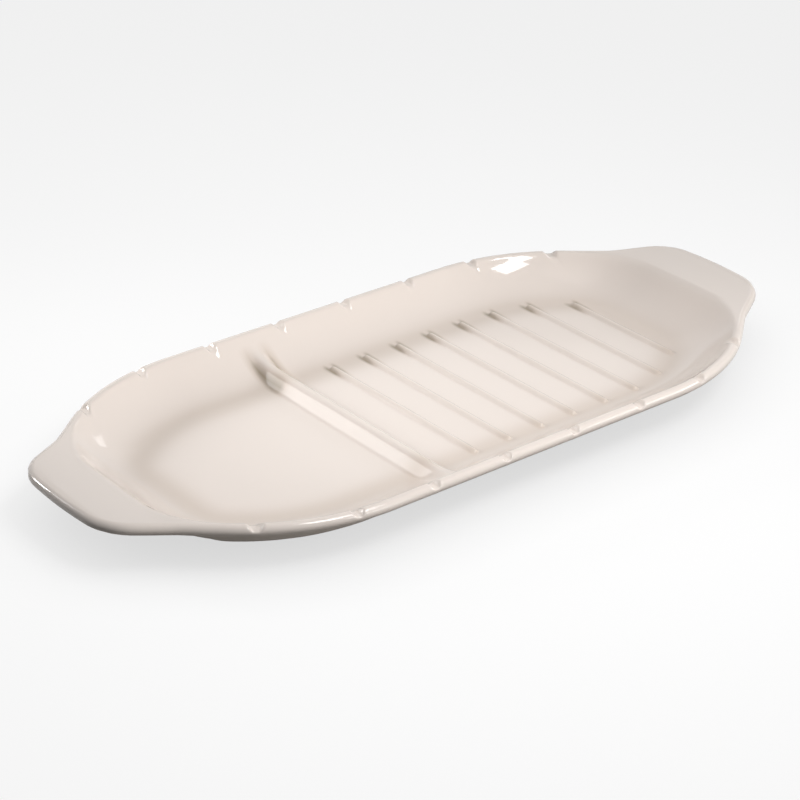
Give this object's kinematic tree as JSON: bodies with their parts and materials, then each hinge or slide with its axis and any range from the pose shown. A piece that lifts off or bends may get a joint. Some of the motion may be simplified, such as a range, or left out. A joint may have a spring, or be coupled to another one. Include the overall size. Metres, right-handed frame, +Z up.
{
  "type": "asparagus plate",
  "caption": "Long glazed ceramic asparagus plate with notched rims, a flat tab handle at each end, and a low divider between a plain sauce end and a ribbed draining bed.",
  "frame": {"origin": "middle of the plate at the level of the table, under the centre of its bounding box", "axes": "+Z up, +X along the plate from the sauce end towards the ribbed bed, +Y towards the back rim"},
  "size_m": [0.391, 0.172, 0.0266],
  "materials": {
    "glaze": "glossy cream glaze",
    "bare_clay": "unglazed, wiped clean"
  },
  "bodies": {
    "root": {"well": "glaze", "back_rim": "glaze", "front_rim": "glaze", "left_handle": "glaze", "right_handle": "glaze", "divider": "glaze", "drain_rib_1": "glaze", "drain_rib_2": "glaze", "drain_rib_3": "glaze", "drain_rib_4": "glaze", "drain_rib_5": "glaze", "drain_rib_6": "glaze", "drain_rib_7": "glaze", "drain_rib_8": "glaze", "foot_ring": "bare_clay"}
  },
  "joints": []
}
